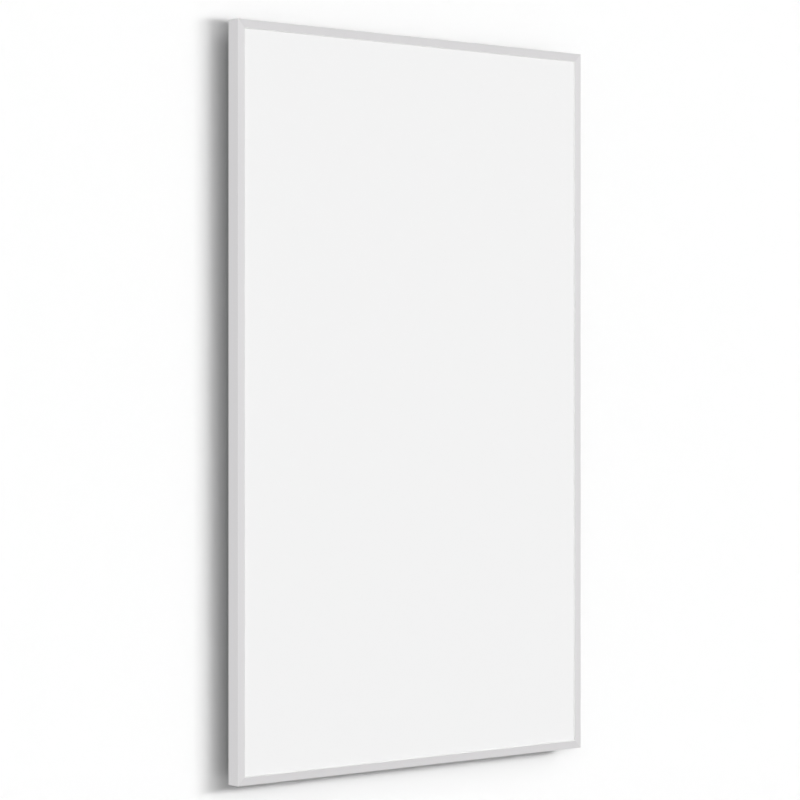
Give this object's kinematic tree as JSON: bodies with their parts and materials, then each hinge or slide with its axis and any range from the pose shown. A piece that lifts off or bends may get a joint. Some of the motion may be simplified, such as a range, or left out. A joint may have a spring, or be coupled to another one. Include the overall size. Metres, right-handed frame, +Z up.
{
  "type": "infrared panel heater",
  "caption": "Slim upright infrared panel heater with a matt white front in a mitred aluminium frame, hung on wall buttons by keyholed rails on its back.",
  "frame": {"origin": "centre of the four wall screws, on the wall's face", "axes": "+Z up, +Y into the wall, so that the white front faces -Y, and +X to the right of someone who looks at the front"},
  "size_m": [0.6, 0.0502, 1],
  "materials": {
    "frame_aluminium": "satin",
    "key_alloy": "matte",
    "zinc_screws": "satin",
    "front_coating": "matte",
    "seal_silicone": "matte",
    "heating_laminate": "satin",
    "heating_carbon": "matte",
    "busbar_copper": "satin",
    "cover_polyester": "satin",
    "foil_aluminium": "polished",
    "insulation_mineral": "matte",
    "galvanised_sheet": "satin",
    "cutout_case": "satin",
    "lead_brown": "satin",
    "lead_blue": "satin",
    "lead_green": "satin",
    "tinned_copper": "satin",
    "grommet_rubber": "matte",
    "terminal_nylon": "matte",
    "terminal_brass": "satin",
    "box_plastic": "matte",
    "gland_nylon": "matte",
    "rail_zinc": "satin",
    "rivet_aluminium": "satin",
    "button_nylon": "matte"
  },
  "bodies": {
    "wall_mount": {"wall_buttons": "button_nylon"},
    "panel": {"back_plate": "galvanised_sheet", "box_screws": "zinc_screws", "busbar_left": "busbar_copper", "busbar_lugs": "tinned_copper", "busbar_right": "busbar_copper", "corner_key_bottom_left": "key_alloy", "corner_key_bottom_right": "key_alloy", "corner_key_screws": "zinc_screws", "corner_key_top_left": "key_alloy", "corner_key_top_right": "key_alloy", "cover_sheet": "cover_polyester", "earth_lug": "tinned_copper", "earth_nuts": "zinc_screws", "earth_stud": "zinc_screws", "frame_bottom_rail": "frame_aluminium", "frame_left_stile": "frame_aluminium", "frame_right_stile": "frame_aluminium", "frame_top_rail": "frame_aluminium", "front_plate": "front_coating", "front_seal": "seal_silicone", "gland_body": "gland_nylon", "gland_cap": "gland_nylon", "gland_locknut": "gland_nylon", "gland_seal": "grommet_rubber", "hanger_rail_left": "rail_zinc", "hanger_rail_right": "rail_zinc", "hanger_rivets": "rivet_aluminium", "heating_board": "heating_laminate", "heating_film": "heating_carbon", "insulation_board": "insulation_mineral", "junction_box_base": "box_plastic", "junction_box_lid": "box_plastic", "lead_earth": "lead_green", "lead_grommets": "grommet_rubber", "lead_live": "lead_brown", "lead_live_tail": "lead_brown", "lead_neutral": "lead_blue", "lead_neutral_tail": "lead_blue", "lid_screws": "zinc_screws", "lid_seal": "grommet_rubber", "reflector_foil": "foil_aluminium", "terminal_block": "terminal_nylon", "terminal_block_screws": "zinc_screws", "terminal_inserts": "terminal_brass", "terminal_screws": "zinc_screws", "thermal_cutout_left": "cutout_case", "thermal_cutout_right": "cutout_case"}
  },
  "joints": [
    {"name": "panel_lift", "type": "slide", "parent": "wall_mount", "child": "panel", "axis": [0, 0, 1], "range_m": [0, 0.014]}
  ]
}
